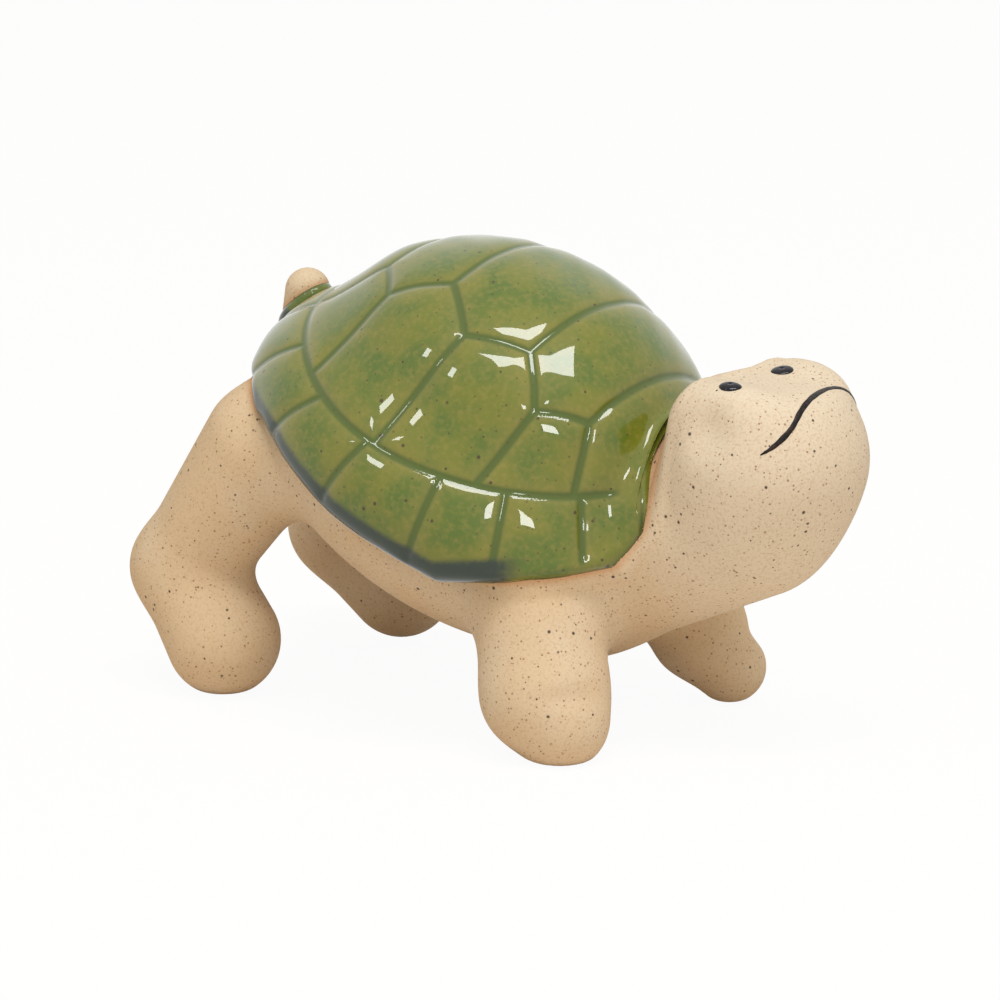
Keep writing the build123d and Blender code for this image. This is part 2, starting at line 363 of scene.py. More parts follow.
# %% The outside of the figurine and the glaze line
FLUSH_FROM = 29.0
FLUSH_TO = 38.0
FLUSH_REACH = 14.0
SEAM_BEHIND = 0.8
SEAM_WIDENING = 3.2
SEAM_FROM = 6.0
SEAM_TO = 30.0
COLLAR_HEIGHT = 0.55
COLLAR_OUT = 2.4
COLLAR_SPREAD = 1.5
TAIL_GLAZE_TOP = 80.6
TAIL_GLAZE_SLOPE = 0.75
TAIL_GLAZE_REACH = 8.5
BRUSH_WANDER = 0.35
BRUSH_ALONG = 2.9
BRUSH_UP = 3.7


def inside_rim(points):
    """How far inside the rim's line in the side view, and how much the shell lies flush there."""
    offset = turned(points, SHELL_MIDDLE, SHELL_TILT)
    inside = -outline_field(offset[:, 0], offset[:, 2], RIM_LINE)
    return inside, ramp(offset[:, 0], FLUSH_FROM, FLUSH_TO)


def outside_field(points):
    """Body and shell together: a tight seam behind, a soft one and a low collar at the shoulders."""
    seam = SEAM_BEHIND + SEAM_WIDENING * ramp(points[:, 0], SEAM_FROM, SEAM_TO)
    inside, flush = inside_rim(points)
    collar = COLLAR_HEIGHT * np.exp(-((inside + COLLAR_OUT) / COLLAR_SPREAD) ** 2) * flush
    return merge(clay_field(points), shell_field(points), seam) - collar


def glaze_line(points):
    """Above 0 where the surface is glazed. Its size is about the distance from the line."""
    shell_over_clay = clay_field(points) - shell_field(points)
    inside, flush = inside_rim(points)
    brush = BRUSH_WANDER * np.sin(points[:, 0] / BRUSH_ALONG) * np.sin(points[:, 2] / BRUSH_UP + 1.0)
    painted = np.minimum(inside + brush, shell_over_clay + FLUSH_REACH)
    glazed = shell_over_clay * (1 - flush) + painted * flush
    up_tail = TAIL_GLAZE_TOP + TAIL_GLAZE_SLOPE * (points[:, 0] - TAIL_TIP[0]) - points[:, 2]
    near_tail = TAIL_GLAZE_REACH - lengths(points[:, :2] - np.array(TAIL_TIP[:2]))
    return np.maximum(glazed, np.minimum(up_tail, near_tail))


print("glaze line at the crown:", glaze_line(np.array([[-20.0, 0.0, 97.0]])).round(1), "mm inside")

# %% [markdown]
# ## From field to mesh
#
# Blender has no button for this, but it carries a volume library, and a volume of numbers
# can be turned into quads where the numbers pass 0. Most of the space is far from the
# surface, so the field is first looked at in coarse blocks and worked out finely only in
# the blocks that the surface passes through. The quads come out a little uneven, and a
# glossy glaze would show that. So every point is then evened out among its neighbours and
# pulled back onto the exact field, a few times over.

# %% Volume to quads
BLOCK = 6
NEAR_BLOCKS = 1.3
FLATTEST = 0.1


def in_chunks(field, points, size=150000):
    """A field at many points, worked out in parts to save memory."""
    return np.concatenate([field(points[i:i + size]) for i in range(0, len(points), size)])


def volume_quads(field, low, high, voxel):
    """Corners and quads of the surface where a field is 0, inside a box."""
    low = np.array(low, float)
    counts = np.ceil((np.array(high) - low) / (voxel * BLOCK)).astype(int)
    middles = [low[i] + voxel * (np.arange(counts[i]) * BLOCK + (BLOCK - 1) / 2) for i in range(3)]
    middles = np.stack(np.meshgrid(*middles, indexing="ij"), -1).reshape(-1, 3)
    coarse = in_chunks(field, middles)
    near = np.abs(coarse) < NEAR_BLOCKS * voxel * BLOCK
    steps = (np.arange(BLOCK) - (BLOCK - 1) / 2) * voxel
    steps = np.stack(np.meshgrid(steps, steps, steps, indexing="ij"), -1).reshape(-1, 3)
    values = np.repeat(coarse[:, None], BLOCK ** 3, axis=1)
    close = (middles[near][:, None] + steps).reshape(-1, 3)
    values[near] = in_chunks(field, close).reshape(-1, BLOCK ** 3)
    values = values.reshape(*counts, BLOCK, BLOCK, BLOCK).transpose(0, 3, 1, 4, 2, 5)
    grid = openvdb.FloatGrid(float(voxel * BLOCK))
    grid.copyFromArray(values.reshape(*(counts * BLOCK)).astype(np.float32))
    corners, quads = grid.convertToQuads()
    return low + np.array(corners, float) * voxel, np.array(quads, int)


# %% Pulling points onto a field and evening them out


def slopes(field, points, step=0.05):
    """How fast the field grows along X, Y and Z."""
    moves = np.eye(3) * step
    return np.stack([(field(points + move) - field(points - move)) / (2 * step) for move in moves], -1)


def settled(field, points, rounds=2):
    """Points moved along the field's slope until they lie on its surface."""
    for _ in range(rounds):
        slope = in_chunks(lambda part: slopes(field, part), points)
        steep = np.maximum((slope ** 2).sum(1), FLATTEST)
        points = points - slope * (in_chunks(field, points) / steep)[:, None]
    return points


def normals(field, points):
    """The direction straight out of the form at each point."""
    slope = in_chunks(lambda part: slopes(field, part), points)
    return slope / np.maximum(lengths(slope), 1e-9)[:, None]


def edges_of(faces):
    """Both ends of every side of every face."""
    return np.concatenate([faces[:, [i, (i + 1) % faces.shape[1]]] for i in range(faces.shape[1])])


def evened(points, faces, fixed=None):
    """Each point moved to the mean of its neighbours, except the fixed ones."""
    pairs = edges_of(faces)
    total = np.zeros_like(points)
    count = np.zeros(len(points))
    for a, b in ((0, 1), (1, 0)):
        for axis in range(3):
            total[:, axis] += np.bincount(pairs[:, a], points[pairs[:, b], axis], len(points))
        count += np.bincount(pairs[:, a], minlength=len(points))
    moved = 0.5 * points + 0.5 * total / np.maximum(count, 1)[:, None]
    if fixed is not None:
        moved[fixed] = points[fixed]
    return moved


def facing_out(points, faces, field):
    """The faces, turned so that they look away from the form."""
    a, b, c = (points[faces[:, i]] for i in (0, 1, 2))
    out = np.cross(b - a, c - a)
    slope = in_chunks(lambda part: slopes(field, part), (a + b + c) / 3)
    return faces if (out * slope).sum(1).mean() > 0 else faces[:, ::-1]


# %% Points and faces to a Blender object


def make_piece(name, points, faces, values=None):
    """A smooth mesh object from points in millimetres, with named values on its points."""
    mesh = bpy.data.meshes.new(name)
    mesh.vertices.add(len(points))
    mesh.vertices.foreach_set("co", (points * MM).astype(np.float32).ravel())
    sides = faces.shape[1]
    mesh.loops.add(len(faces) * sides)
    mesh.loops.foreach_set("vertex_index", faces.astype(np.int32).ravel())
    mesh.polygons.add(len(faces))
    mesh.polygons.foreach_set("loop_start", np.arange(0, len(faces) * sides, sides, dtype=np.int32))
    mesh.polygons.foreach_set("use_smooth", np.ones(len(faces), dtype=bool))
    mesh.update(calc_edges=True)
    mesh.validate()
    for key, numbers in (values or {}).items():
        attribute = mesh.attributes.new(key, "FLOAT", "POINT")
        attribute.data.foreach_set("value", numbers.astype(np.float32))
    piece = bpy.data.objects.new(name, mesh)
    bpy.context.scene.collection.objects.link(piece)
    print(name, len(points), "points", len(faces), "faces")
    return piece


# %% [markdown]
# ## The casting
#
# The body's mesh is the whole outside of the figurine, shell and all, as the real casting
# is. Under the glaze it sinks a little, to leave room for the coat. One value goes onto
# its points for the clay's colour: how near the glaze line is, where the clay is toasted
# orange.

# %% The body mesh
BODY_VOXEL = 0.9
GLAZE_SINK = 1.0
SINK_FROM = 0.3
SINK_TO = 2.2
TOAST_REACH = 0.9
MARGIN = 3.0
box_low = np.array(cad_box[0]) / MM - MARGIN
box_high = np.array(cad_box[1]) / MM + MARGIN


def casting_field(points):
    return outside_field(points) + GLAZE_SINK * ramp(glaze_line(points), SINK_FROM, SINK_TO)


body_points, body_faces = volume_quads(casting_field, box_low, box_high, BODY_VOXEL)
body_faces = facing_out(body_points, body_faces, casting_field)
for _ in range(2):
    body_points = settled(casting_field, evened(body_points, body_faces), 1)
body_points[:, 2] = np.maximum(body_points[:, 2], 0.0)
line_distance = in_chunks(glaze_line, body_points)
toasted = np.exp(-(np.minimum(line_distance, 0) / TOAST_REACH) ** 2)
body = make_piece("turtle_body", body_points, body_faces, {"toasted": toasted})
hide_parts("stoneware_body")
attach(body, "root")
print("body box, mm:", body_points.min(0).round(1), body_points.max(0).round(1))

# %% [markdown]
# ## The scute pattern
#
# The shell is carved with the pattern of horny plates that tortoises have: a row of big
# plates along the back, a row down each side, and a ring of small ones round the rim. The
# lines are placed on a plan of the shell, as shares of its half length and half width, and
# lifted onto the dome. The lines of the rim run on below the widest place, so they are
# followed by direction and height instead.

# %% The pattern's lines on the dome
SHELL_HALF_LENGTH = 55.4
SHELL_HALF_WIDTH = SHELL_HALF_LENGTH / DOME_NARROWING
SPINE = [(-0.6, 0.33), (-0.46, 0.52), (-0.265, 0.42), (-0.052, 0.6), (0.18, 0.49), (0.343, 0.605),
         (0.5, 0.45)]
CROSS_LINES = [0, 2, 4, 6]
RIB_LINES = [(0, 158), (1, 123), (3, 91), (5, 62), (6, 37)]
RING_CENTRE = -0.055
RING_LENGTH = 0.83
RING_WIDTH = 0.95
RIM_PLATES = [15, 35, 54, 71, 93, 114, 136, 158]
RIM_FAN = 1.09
RIM_TURN_BACK = 2.0
RIM_LOW = -8.0

fine_heights = np.linspace(0, 90, 181)
fine_reach = dome_radius(fine_heights) * np.cos(np.radians(fine_heights)) / SHELL_HALF_LENGTH


def from_heading(heading, height):
    """A point of the dome in the shell's axes, from its direction and its height in degrees."""
    reach = dome_radius(height)
    out = reach * np.cos(np.radians(height))
    return np.stack([out * np.cos(heading), out * np.sin(heading) / DOME_NARROWING,
                     reach * np.sin(np.radians(height))], -1)


def heading_of(plan):
    """Direction and height on the dome of points of the plan."""
    share = np.hypot(plan[:, 0], plan[:, 1])
    return np.arctan2(plan[:, 1], plan[:, 0]), np.interp(-share, -fine_reach, fine_heights)


def plan_line(start, end, count=9):
    """A straight line of the plan, lifted onto the dome."""
    share = np.linspace(0, 1, count)[:, None]
    return from_heading(*heading_of(np.array(start) * (1 - share) + np.array(end) * share))


def on_ring(turn):
    """A point of the oval line inside the rim plates, by its angle from the front."""
    angle = math.radians(turn)
    return (RING_CENTRE + RING_LENGTH * math.cos(angle), RING_WIDTH * math.sin(angle))


def rim_plate_line(turn, side, count=7):
    """A line between two rim plates, from the oval down past the rim."""
    heading, height = heading_of(np.array([on_ring(turn)]))
    share = np.linspace(0, 1, count)
    fanned = math.radians(turn * RIM_FAN - RIM_TURN_BACK)
    headings = (heading * (1 - share) + fanned * share) * side
    return from_heading(headings, height * (1 - share) + RIM_LOW * share)


pattern = []
for side in (-1, 1):
    spine = [(along, side * across) for along, across in SPINE]
    pattern += [plan_line(a, b) for a, b in zip(spine, spine[1:])]
    pattern += [plan_line(spine[i], on_ring(side * turn)) for i, turn in RIB_LINES]
    pattern += [rim_plate_line(turn, side) for turn in RIM_PLATES]
pattern += [plan_line(SPINE[i], (SPINE[i][0], -SPINE[i][1])) for i in CROSS_LINES]
ring = np.array([on_ring(turn) for turn in range(0, 361, 4)])
pattern.append(from_heading(*heading_of(ring)))
print("carved lines:", len(pattern))

# %% How far each point of the glaze lies from a carved line


def in_figurine(offset):
    """Points of the shell's turned axes, in the frame's own."""
    angle = math.radians(SHELL_TILT)
    x = offset[:, 0] * math.cos(angle) + offset[:, 2] * math.sin(angle)
    z = -offset[:, 0] * math.sin(angle) + offset[:, 2] * math.cos(angle)
    return np.stack([x, offset[:, 1], z], -1) + np.array(SHELL_MIDDLE)


def distance_to_lines(points, lines, reach=9.0):
    """Distance from each point to the nearest of some open lines, up to a reach."""
    nearest = np.full(len(points), reach)
    for line in lines:
        for a, b in zip(line, line[1:]):
            near = reach + lengths((b - a)[None])[0] / 2
            close = np.nonzero(np.abs(points - (a + b) / 2).max(1) < near)[0]
            offset = points[close] - a
            share = np.clip(offset @ (b - a) / ((b - a) @ (b - a)), 0, 1)
            nearest[close] = np.minimum(nearest[close], lengths(offset - share[:, None] * (b - a)))
    return nearest


pattern = [in_figurine(line) for line in pattern]
print("lowest carved point, mm:", round(min(line[:, 2].min() for line in pattern), 1))

# %% [markdown]
# ## The glaze coat
#
# Glaze is a skin of glass. It runs off sharp edges and pools in hollows, so the carved
# lines are soft valleys with a little swelling beside them, and the coat thins to nothing
# at its edge. Its mesh is cut out of a finer mesh of the figurine's outside along the glaze
# line, lifted by the thickness of the coat, carved, and closed with an inner skin. A slow
# waviness keeps its reflections from looking machine-made.

# %% Cut the glazed part out of the outside
GLAZE_VOXEL = 0.5
GLAZE_BOTTOM = 30.0
GLAZE_FRONT = 40.0
glaze_low = box_low * [1, 1, 0] + [0, 0, GLAZE_BOTTOM]
glaze_high = np.array([GLAZE_FRONT, box_high[1], box_high[2]])
points, faces = volume_quads(outside_field, glaze_low, glaze_high, GLAZE_VOXEL)
faces = facing_out(points, faces, outside_field)
points = settled(outside_field, evened(points, faces), 1)
inside_line = in_chunks(glaze_line, points)
faces = faces[(inside_line[faces] > 0).sum(1) >= 3]


def largest_part(faces, count):
    """The faces of the largest connected part."""
    label = np.arange(count)
    while True:
        low = label[faces].min(1)
        new = label.copy()
        np.minimum.at(new, faces.ravel(), np.repeat(low, faces.shape[1]))
        new = new[new]
        if (new == label).all():
            break
        label = new
    keep = np.bincount(label[faces[:, 0]]).argmax()
    return faces[label[faces[:, 0]] == keep]


def packed(points, faces):
    """Only the points that the faces use."""
    used, faces = np.unique(faces, return_inverse=True)
    return points[used], faces.reshape(-1, 4)


def border_of(faces):
    """Edges that belong to one face only, in that face's direction."""
    pairs = edges_of(faces)
    code = np.sort(pairs, 1) @ np.array([1 << 32, 1])
    _, first, count = np.unique(code, return_index=True, return_counts=True)
    return pairs[first[count == 1]]


points, faces = packed(points, largest_part(faces, len(points)))
border = border_of(faces)
print("glaze:", len(points), "points,", len(border), "on its edge")

# %% Pull the cut edge onto the glaze line
LINE_STEP = 0.1
LINE_FLATTEST = 0.15
LONGEST_MOVE = 0.4


def pulled_to_line(points, rounds=6):
    """Points slid along the outside until they lie on the glaze line."""
    for _ in range(rounds):
        slope = slopes(glaze_line, points, LINE_STEP)
        out = normals(outside_field, points)
        slope = slope - out * (slope * out).sum(1)[:, None]
        steep = np.maximum((slope ** 2).sum(1), LINE_FLATTEST)
        move = -slope * (glaze_line(points) / steep)[:, None]
        size = lengths(move)[:, None]
        move = move * np.minimum(1, LONGEST_MOVE / np.maximum(size, 1e-9))
        points = settled(outside_field, points + move, 1)
    return points


edge_points = np.unique(border)
points[edge_points] = pulled_to_line(points[edge_points])
for _ in range(2):
    points = settled(outside_field, evened(points, faces, edge_points), 1)
print("edge lies within", np.abs(glaze_line(points[edge_points])).max().round(2), "mm of the line")

# %% Lift, carve and close the coat
COAT = 0.35
SKIN = 0.8
GROOVE_DEPTH = 0.34
GROOVE_SPREAD = 0.95
SHOULDER_DEPTH = 0.35
SHOULDER_SPREAD = 2.8
CARVED_FROM = 0.6
CARVED_TO = 3.0
WAVE = 0.1
LONG_WAVES = (4.1, 4.9, 5.3)
LONG_SHIFTS = (1.3, 0.4)
SHORT_WAVES = (2.3, 2.7)
SHORT_SHARE = 0.5
LIP = 0.25
LIP_IN = 1.9
LIP_SPREAD = 1.1
EDGE_THINNING = 1.1
LEAST_COAT = 0.15
POOL_FULL = 3.2
POOL_END = 6.4
EDGE_POOL = 0.5
EDGE_POOL_REACH = 0.8
inside_line = glaze_line(points)
from_line = distance_to_lines(points, pattern)
inside, flush = inside_rim(points)
above_rim = ramp(inside, CARVED_FROM, CARVED_TO)
groove = np.exp(-(from_line / GROOVE_SPREAD) ** 2) * above_rim
shoulder = np.exp(-(from_line / SHOULDER_SPREAD) ** 2) * above_rim
x, y, z = points.T
long_wave = np.sin(x / LONG_WAVES[0] + LONG_SHIFTS[0]) * np.sin(y / LONG_WAVES[1])
long_wave = long_wave * np.sin(z / LONG_WAVES[2] + LONG_SHIFTS[1])
short_wave = SHORT_SHARE * np.sin((x + y) / SHORT_WAVES[0]) * np.sin((z - y) / SHORT_WAVES[1])
wave = WAVE * (long_wave + short_wave)
lip = LIP * np.exp(-((inside_line - LIP_IN) / LIP_SPREAD) ** 2)
lift = (COAT + wave + lip) * ramp(inside_line, 0.0, EDGE_THINNING)
lift = lift - GROOVE_DEPTH * groove - SHOULDER_DEPTH * shoulder
out = normals(outside_field, points)
outer = points + out * np.maximum(lift, -SKIN + LEAST_COAT)[:, None]
inner = points - out * SKIN
start, end = border.T
rim_quads = np.stack([end, start, start + len(points), end + len(points)], -1)
all_faces = np.concatenate([faces, faces[:, ::-1] + len(points), rim_quads])
rim_pool = (1 - ramp(inside, POOL_FULL, POOL_END)) * (1 - flush)
pool = np.maximum(rim_pool, EDGE_POOL * np.exp(-(inside_line / EDGE_POOL_REACH) ** 2))
values = {"groove": groove, "shoulder": shoulder, "pool": pool}
glaze = make_piece("turtle_glaze", np.concatenate([outer, inner]), all_faces,
                   {key: np.concatenate([numbers, numbers]) for key, numbers in values.items()})
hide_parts("shell_glaze")
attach(glaze, "root")

# %% [markdown]
# ## Eyes and mouth
#
# Both are drops of colour on the clay, so they follow the skin they lie on. The eyes are
# rings of points around a middle, pulled onto the body and raised into a low bead. The
# mouth is one brush stroke: a ribbon along a line of points, wide in the middle of the
# stroke and pointed where the brush touched down and left.

# %% Two enamel eyes
EYES = {"right_eye": (60.9, -13.6, 77.9), "left_eye": (58.6, 7.7, 77.4)}
EYE_LONG = 2.35
EYE_WIDE = 1.95
EYE_STAND = 0.65
EYE_DEPTH = 0.3
EYE_INSET = 0.03
EYE_TURN = 20.0
EYE_RINGS = 8
EYE_SPOKES = 40


def bead(middle):
    """A closed drop with its rim on the body and its underside just below the skin."""
    middle = settled(outside_field, np.array([middle]), 4)
    out = normals(outside_field, middle)[0]
    ahead = np.cross([0.0, 1.0, 0.0], out)
    ahead /= np.linalg.norm(ahead)
    aside = np.cross(out, ahead)
    turn = math.radians(EYE_TURN)
    long_way = ahead * math.cos(turn) + aside * math.sin(turn)
    wide_way = np.cross(out, long_way)
    angles = np.linspace(0, 2 * math.pi, EYE_SPOKES, endpoint=False)
    top, under = [middle], [middle - out * EYE_DEPTH]
    for ring_number in range(1, EYE_RINGS + 1):
        share = math.sin(ring_number / EYE_RINGS * math.pi / 2)
        flat = middle + share * (EYE_LONG * np.cos(angles)[:, None] * long_way
                                 + EYE_WIDE * np.sin(angles)[:, None] * wide_way)
        skin = settled(outside_field, flat, 3)
        skin_out = normals(outside_field, skin)
        top.append(skin + skin_out * (EYE_STAND * math.sqrt(max(1 - share * share, 0)) - EYE_INSET))
        under.append(skin - skin_out * EYE_DEPTH)
    under.pop()
    count = 1 + EYE_RINGS * EYE_SPOKES
    quads = []
    spoke = np.arange(EYE_SPOKES)
    after = (spoke + 1) % EYE_SPOKES
    for ring_number in range(EYE_RINGS - 1):
        start = 1 + ring_number * EYE_SPOKES
        next_ring = start + EYE_SPOKES
        quads.append(np.stack([start + spoke, next_ring + spoke, next_ring + after, start + after], -1))
        if ring_number < EYE_RINGS - 2:
            quads.append(quads[-1][:, ::-1] + count)
    last = 1 + (EYE_RINGS - 1) * EYE_SPOKES
    low = count + 1 + (EYE_RINGS - 2) * EYE_SPOKES
    quads.append(np.stack([last + after, last + spoke, low + spoke, low + after], -1))
    fans = [np.stack([spoke * 0, 1 + spoke, 1 + after, 1 + after], -1),
            np.stack([spoke * 0 + count, count + 1 + after, count + 1 + spoke, count + 1 + spoke], -1)]
    faces = np.concatenate(quads).tolist() + np.concatenate(fans)[:, :3].tolist()
    return np.concatenate(top + under), faces


def make_mixed(name, points, faces):
    """A smooth object from faces with any number of corners."""
    mesh = bpy.data.meshes.new(name)
    mesh.from_pydata((points * MM).tolist(), [], faces)
    mesh.polygons.foreach_set("use_smooth", np.ones(len(mesh.polygons), dtype=bool))
    piece = bpy.data.objects.new(name, mesh)
    bpy.context.scene.collection.objects.link(piece)
    return piece


eyes = []
for node, middle in EYES.items():
    eye = make_mixed("turtle_" + node, *bead(middle))
    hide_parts(node)
    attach(eye, "root")
    eyes.append(eye)
print("eyes:", [eye.name for eye in eyes])

# %% The brushed mouth
MOUTH = [(70.9, -17.5, 66.0), (72.4, -16.0, 67.2), (73.8, -13.9, 69.1), (74.4, -11.3, 71.2),
         (74.2, -8.7, 73.4), (73.5, -4.4, 75.5), (72.4, 0.4, 76.3), (71.4, 5.4, 76.2),
         (71.2, 8.8, 75.8), (71.5, 11.4, 74.7), (71.6, 14.0, 72.8), (70.7, 16.6, 69.6)]
MOUTH_HALF_WIDTHS = [0.1, 0.45, 0.58, 0.55, 0.55, 0.62, 0.68, 0.66, 0.6, 0.58, 0.5, 0.12]
MOUTH_STAND = 0.12
MOUTH_EDGE = 0.02
MOUTH_DEPTH = 0.25
MOUTH_WAVER = 0.05
ACROSS_SHARES = [-1.0, -0.8, -0.4, 0.0, 0.4, 0.8, 1.0]
MOUTH_STEPS = 160
knots = np.arange(len(MOUTH), dtype=float)
steps = np.linspace(0, len(MOUTH) - 1, MOUTH_STEPS)
line = np.stack([smooth_curve(knots, [point[axis] for point in MOUTH])(steps) for axis in range(3)], -1)
line = settled(outside_field, line, 4)
waver = MOUTH_WAVER * np.sin(steps * 5.3) * np.sin(steps * 2.1)
half_widths = np.interp(steps, knots, MOUTH_HALF_WIDTHS) + waver
out = normals(outside_field, line)
along = np.gradient(line, axis=0)
across = np.cross(out, along)
across /= lengths(across)[:, None]
rows = []
for share in ACROSS_SHARES:
    skin = settled(outside_field, line + across * (half_widths * share)[:, None], 3)
    rows.append(skin + normals(outside_field, skin) * (MOUTH_STAND * (1 - share ** 4) + MOUTH_EDGE))
for share in ACROSS_SHARES[::-1]:
    skin = settled(outside_field, line + across * (half_widths * share)[:, None], 3)
    rows.append(skin - normals(outside_field, skin) * MOUTH_DEPTH)
ribbon = np.stack(rows, 1)
around = len(rows)
numbers = np.arange(MOUTH_STEPS * around).reshape(MOUTH_STEPS, around)
nexts = np.roll(numbers, -1, axis=1)
quads = np.stack([numbers[:-1], nexts[:-1], nexts[1:], numbers[1:]], -1).reshape(-1, 4)
ends = [numbers[0, ::-1].tolist(), numbers[-1].tolist()]
mouth = make_mixed("turtle_mouth", ribbon.reshape(-1, 3), quads.tolist() + ends)
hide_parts("mouth_line")
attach(mouth, "root")
print("mouth length, mm:", lengths(np.diff(line, axis=0)).sum().round(1))

# %% [markdown]
# ## Iron specks, shared by clay and glaze
#
# Iron in the clay melts into dark dots in the kiln, and they show through the glaze too.
# A texture of random cells has one point in each cell. A dot is drawn round that point if
# the cell's own random number is low enough, and a second number sets its size. Both
# materials use the dots, so they are a node group that puts out only a mask.

# %% Helpers for node trees


class Nodes:
    """Adds nodes to a tree and links them by socket name."""

    def __init__(self, tree):
        self.tree = tree
        self.count = 0

    def add(self, kind, inputs=None, **settings):
        node = self.tree.nodes.new(kind)
        self.count += 1
        node.location = (220 * (self.count % 8), -260 * (self.count // 8))
        for key, value in settings.items():
            setattr(node, key, value)
        for key, value in (inputs or {}).items():
            self.set(node, key, value)
        return node

    def set(self, node, key, value):
        socket = node.inputs[key]
        if isinstance(value, bpy.types.NodeSocket):
            self.tree.links.new(value, socket)
        else:
            socket.default_value = value

    def math(self, operation, *values):
        node = self.add("ShaderNodeMath", operation=operation)
        for i, value in enumerate(values):
            self.set(node, i, value)
        return node.outputs[0]

    def ramp(self, value, start, end):
        """0 at start, 1 at end, smooth between."""
        node = self.add("ShaderNodeMapRange", interpolation_type="SMOOTHSTEP")
        for i, number in enumerate((value, start, end, 0.0, 1.0)):
            self.set(node, i, number)
        return node.outputs[0]

    def mix(self, share, first, second):
        node = self.add("ShaderNodeMix", data_type="RGBA")
        self.set(node, 0, share)
        self.set(node, 6, first)
        self.set(node, 7, second)
        return node.outputs[2]

    def noise(self, where, scale, detail=2.0):
        """Soft random numbers about 0.5, with a pattern that many millimetres wide."""
        node = self.add("ShaderNodeTexNoise", {"Vector": where, "Scale": 1 / (scale * MM), "Detail": detail})
        return node.outputs["Fac"]

    def value_on_points(self, name):
        return self.add("ShaderNodeAttribute", attribute_name=name).outputs["Fac"]


def emptied(owner):
    """The emptied node tree of a material or a world."""
    owner.use_nodes = True
    owner.node_tree.nodes.clear()
    return Nodes(owner.node_tree)


def new_material(name):
    """A material with an empty node tree, its shader and its output."""
    material = bpy.data.materials.new(name)
    nodes = emptied(material)
    shader = nodes.add("ShaderNodeBsdfPrincipled")
    output = nodes.add("ShaderNodeOutputMaterial")
    material.node_tree.links.new(shader.outputs[0], output.inputs[0])
    return material, nodes, shader


# %% The speck group


WOBBLE_SIZE = 0.25
WOBBLE = 0.22
SMALLEST_DOT = 0.45
DOT_CORE = 0.45


def speck_group():
    """Node group: dots of random size round the points of random cells."""
    tree = bpy.data.node_groups.new("Iron specks", "ShaderNodeTree")
    tree.interface.new_socket("Where", in_out="INPUT", socket_type="NodeSocketVector")
    for name in ("Spacing", "Radius", "Share"):
        tree.interface.new_socket(name, in_out="INPUT", socket_type="NodeSocketFloat")
    tree.interface.new_socket("Mask", in_out="OUTPUT", socket_type="NodeSocketFloat")
    nodes = Nodes(tree)
    given = nodes.add("NodeGroupInput").outputs
    per_metre = nodes.math("DIVIDE", 1 / MM, given["Spacing"])
    cells = nodes.add("ShaderNodeTexVoronoi", {"Vector": given["Where"], "Scale": per_metre})
    chance = nodes.add("ShaderNodeSeparateColor", {"Color": cells.outputs["Color"]})
    wobble = nodes.math("SUBTRACT", nodes.noise(given["Where"], WOBBLE_SIZE, 1.0), 0.5)
    distance = nodes.math("MULTIPLY", cells.outputs["Distance"], given["Spacing"])
    distance = nodes.math("ADD", distance, nodes.math("MULTIPLY", wobble, WOBBLE))
    size = nodes.math("MULTIPLY", given["Radius"], nodes.math("ADD", SMALLEST_DOT, chance.outputs[1]))
    dot = nodes.ramp(distance, size, nodes.math("MULTIPLY", size, DOT_CORE))
    chosen = nodes.math("LESS_THAN", chance.outputs[0], given["Share"])
    result = nodes.add("NodeGroupOutput")
    tree.links.new(nodes.math("MULTIPLY", dot, chosen), result.inputs["Mask"])
    return tree


SPECKS = speck_group()


def specks(nodes, where, spacing, radius, share):
    """A mask of dots: their spacing and radius in millimetres and the share of cells with one."""
    node = nodes.add("ShaderNodeGroup", node_tree=SPECKS)
    for key, value in (("Where", where), ("Spacing", spacing), ("Radius", radius), ("Share", share)):
        nodes.set(node, key, value)
    return node.outputs["Mask"]


print("group:", SPECKS.name, [item.name for item in SPECKS.interface.items_tree])

# %% [markdown]
# ## Bare stoneware
#
# The unglazed clay is a warm beige, paler on the head and in some patches, with a dry
# sandy surface. Most of its specks are small and rust-coloured, and a few are
# almost black. Where the glaze ends, the clay is toasted orange in a thin line. The sand
# and the specks are also a very small bump, and the surface is rough all over.

# %% The stoneware material
CLAY_WARM = (0.585, 0.43, 0.26, 1.0)
CLAY_PALE = (0.62, 0.515, 0.375, 1.0)
CLAY_SAND = (0.44, 0.28, 0.15, 1.0)
CLAY_TOAST = (0.5, 0.22, 0.08, 1.0)
SPECK_RUST = (0.2, 0.075, 0.03, 1.0)
SPECK_DARK = (0.03, 0.015, 0.01, 1.0)
PATCH_SIZE = 22.0
PALE_FROM = 0.03
PALE_TO = 0.06
SAND_SIZE = 0.5
RUST_DOTS = (0.95, 0.22, 0.7)
DARK_DOTS = (2.1, 0.34, 0.5)
TOOTH = 0.00012

stoneware, nodes, shader = new_material("Speckled stoneware")
where = nodes.add("ShaderNodeTexCoord").outputs["Object"]
patches = nodes.math("MULTIPLY", nodes.ramp(nodes.noise(where, PATCH_SIZE), 0.35, 0.65), 0.5)
headward = nodes.add("ShaderNodeSeparateXYZ", {"Vector": where}).outputs["X"]
patches = nodes.math("MAXIMUM", patches, nodes.ramp(headward, PALE_FROM, PALE_TO))
colour = nodes.mix(patches, CLAY_WARM, CLAY_PALE)
sand = nodes.noise(where, SAND_SIZE, 4.0)
colour = nodes.mix(nodes.math("MULTIPLY", nodes.ramp(sand, 0.45, 0.75), 0.5), colour, CLAY_SAND)
toasted = nodes.math("MULTIPLY", nodes.value_on_points("toasted"), 0.6)
colour = nodes.mix(toasted, colour, CLAY_TOAST)
rust = specks(nodes, where, *RUST_DOTS)
colour = nodes.mix(nodes.math("MULTIPLY", rust, 0.75), colour, SPECK_RUST)
dark = specks(nodes, where, *DARK_DOTS)
